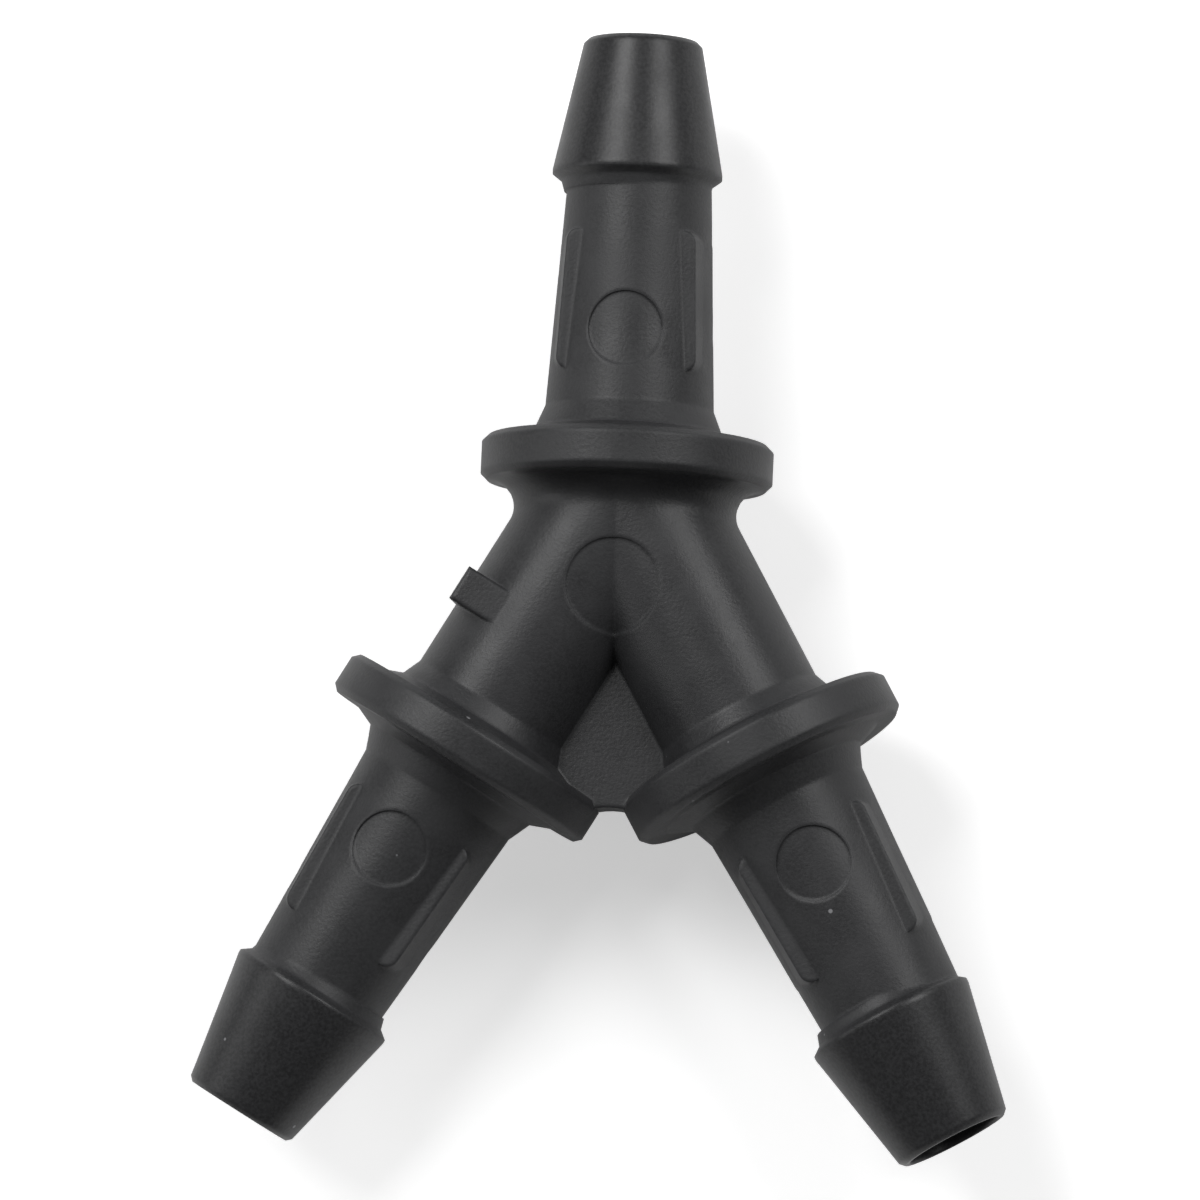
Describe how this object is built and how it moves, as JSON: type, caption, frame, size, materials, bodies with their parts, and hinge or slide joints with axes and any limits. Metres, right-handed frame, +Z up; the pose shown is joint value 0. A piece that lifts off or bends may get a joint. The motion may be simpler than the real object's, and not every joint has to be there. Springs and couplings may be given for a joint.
{
  "type": "tubing y connector",
  "caption": "Moulded plastic Y connector that joins soft tubes on barbed legs, with a round stop collar on each leg and a web in the crotch.",
  "frame": {"origin": "bottom centre of the fitting's bounding box as it lies flat, on the floor plane and about 4.7 mm below the junction of the three axes in plan", "axes": "+Z up, square to the mould's parting plane; +Y along the single top leg, pointing out of its open end; +X towards the right-hand lower leg"},
  "size_m": [0.0392, 0.0538, 0.0141],
  "materials": {
    "black_plastic": "black moulded plastic with a fine satin mould texture"
  },
  "bodies": {
    "root": {"y_connector": "black_plastic"}
  },
  "joints": []
}
